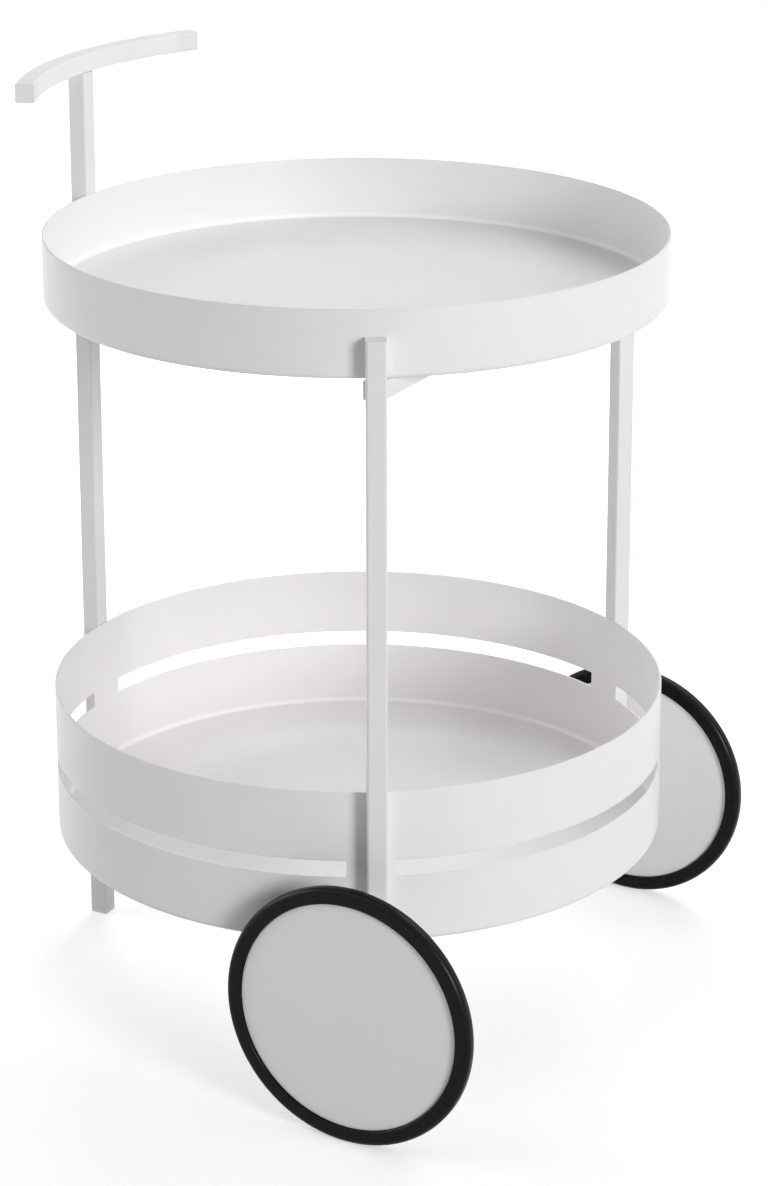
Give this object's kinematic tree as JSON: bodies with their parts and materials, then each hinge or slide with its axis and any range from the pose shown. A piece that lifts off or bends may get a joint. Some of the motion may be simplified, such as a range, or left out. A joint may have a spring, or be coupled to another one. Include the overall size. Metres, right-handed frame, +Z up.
{
  "type": "serving trolley",
  "caption": "Round two-tier serving trolley with a T handle, a slotted lower tray, large disc wheels in front and one fixed rear foot.",
  "frame": {"origin": "on the floor, under the middle of the trolley's bounding box", "axes": "+Z up; +Y the way the trolley rolls, away from the handle; +X to its right-hand side, along the wheel axles"},
  "size_m": [0.619, 0.598, 0.89],
  "materials": {
    "tube": "smooth satin white powder coat on steel tube",
    "tray": "smooth satin white powder coat on sheet steel",
    "cap": "white moulded plastic",
    "disc": "fibreboard with smooth satin white lacquer",
    "tyre": "smooth glossy black rubber",
    "hub": "satin white powder coat",
    "fastener": "zinc-plated steel",
    "bush": "dark moulded plastic"
  },
  "bodies": {
    "frame": {"leg_right": "tube", "leg_left": "tube", "leg_rear": "tube", "leg_top_caps": "tube", "leg_bottom_caps": "cap", "rear_foot": "cap", "handle_bar": "tube", "handle_end_caps": "tube", "top_cross_bar": "tube", "top_rear_arm": "tube", "lower_cross_bar": "tube", "lower_rear_arm": "tube", "top_tray": "tray", "lower_tray": "tray", "top_tray_studs": "fastener", "top_tray_washers": "fastener", "top_tray_nuts": "fastener", "lower_tray_studs": "fastener", "lower_tray_washers": "fastener", "lower_tray_nuts": "fastener", "axle_housing_right": "tube", "outer_bush_right": "bush", "inner_bush_right": "bush", "axle_housing_left": "tube", "outer_bush_left": "bush", "inner_bush_left": "bush"},
    "wheel_right": {"wheel_disc_right": "disc", "tyre_right": "tyre", "wheel_hub_right": "hub", "hub_screws_right": "fastener", "axle_right": "fastener", "thrust_washer_right": "fastener", "axle_washer_right": "fastener", "lock_nut_right": "fastener"},
    "wheel_left": {"wheel_disc_left": "disc", "tyre_left": "tyre", "wheel_hub_left": "hub", "hub_screws_left": "fastener", "axle_left": "fastener", "thrust_washer_left": "fastener", "axle_washer_left": "fastener", "lock_nut_left": "fastener"}
  },
  "joints": [
    {"name": "right_wheel_spin", "type": "hinge", "parent": "frame", "child": "wheel_right", "pos_m": [0.3025, 0.16267, 0.122], "axis": [-1, 0, 0], "continuous": true},
    {"name": "left_wheel_spin", "type": "hinge", "parent": "frame", "child": "wheel_left", "pos_m": [-0.3025, 0.16267, 0.122], "axis": [-1, 0, 0], "continuous": true}
  ]
}
